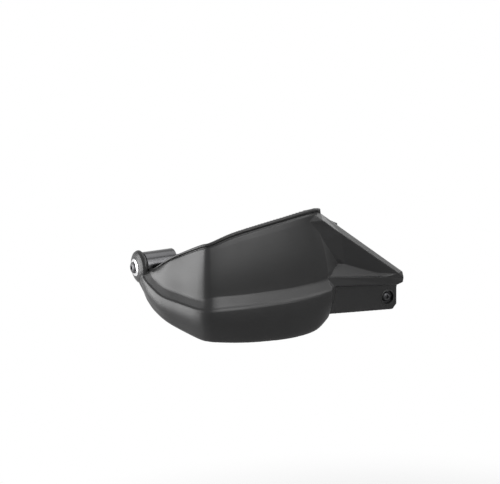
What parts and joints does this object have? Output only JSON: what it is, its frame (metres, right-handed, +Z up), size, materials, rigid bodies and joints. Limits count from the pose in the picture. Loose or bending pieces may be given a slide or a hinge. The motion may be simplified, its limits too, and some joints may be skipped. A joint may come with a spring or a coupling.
{
  "type": "motorcycle hand guard",
  "caption": "Moulded black hand guard for a motorcycle's right handlebar, with bar end weight, expander, pad screw, bracket and split clamp.",
  "frame": {"origin": "where the handlebar's end face meets the bar end weight, on the bar's axis", "axes": "+X along the bar's axis towards the middle of the motorcycle, -Y forward, +Z up"},
  "size_m": [0.2832, 0.121, 0.1318],
  "materials": {
    "black_plastic": "satin moulded black",
    "polished_metal": "polished",
    "black_screw": "black oxide",
    "zinc_steel": "zinc plated",
    "black_rubber": "matt",
    "black_bracket": "satin powder coat"
  },
  "bodies": {
    "root": {"shell": "black_plastic", "eye_sleeve": "zinc_steel", "eye_pad": "black_rubber", "bar_end_washer": "polished_metal", "bar_end_screw": "black_screw", "bar_end_weight": "polished_metal", "expander_sleeve": "black_rubber", "expander_cone": "zinc_steel", "mount_screw": "black_screw", "mount_washer": "black_screw", "mount_grommet": "black_rubber", "mount_spacer": "zinc_steel", "bracket": "black_bracket", "mount_nut": "zinc_steel", "bracket_screw": "black_screw", "bracket_lock_washer": "zinc_steel", "clamp_base": "black_bracket", "clamp_cap": "black_bracket", "clamp_screw_upper": "black_screw", "clamp_screw_lower": "black_screw"}
  },
  "joints": []
}
